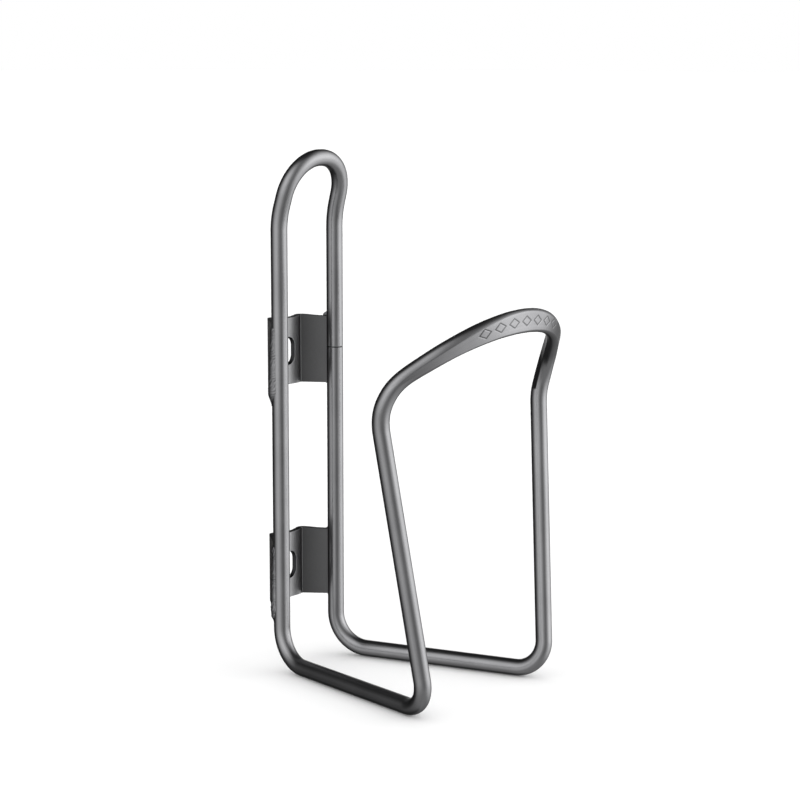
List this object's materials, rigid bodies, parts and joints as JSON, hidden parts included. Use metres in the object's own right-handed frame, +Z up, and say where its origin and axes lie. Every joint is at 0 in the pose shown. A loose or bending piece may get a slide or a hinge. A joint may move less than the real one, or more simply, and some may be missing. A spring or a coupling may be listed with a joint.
{
  "type": "water bottle cage",
  "caption": "Welded rod cage that grips a round bicycle water bottle, with two slotted sheet brackets that bolt to a bicycle frame tube.",
  "frame": {"origin": "midway between the centres of the two bracket slots, on the rear face of the brackets' hollow webs", "axes": "+Z runs up along the uprights and the bottle's axis, +Y points from the bottle to the bicycle's frame tube along the bolts, and +X is to the right for a viewer who faces +Y"},
  "size_m": [0.077, 0.0882, 0.1515],
  "materials": {
    "rod": "satin dark grey anodised, fine grained",
    "bracket": "satin dark grey anodised sheet",
    "weld": "satin dark grey anodised, rippled bead"
  },
  "bodies": {
    "root": {"rod_loop": "rod", "upper_bracket": "bracket", "lower_bracket": "bracket", "upper_left_weld": "weld", "upper_right_weld": "weld", "lower_left_weld": "weld", "lower_right_weld": "weld"}
  },
  "joints": []
}
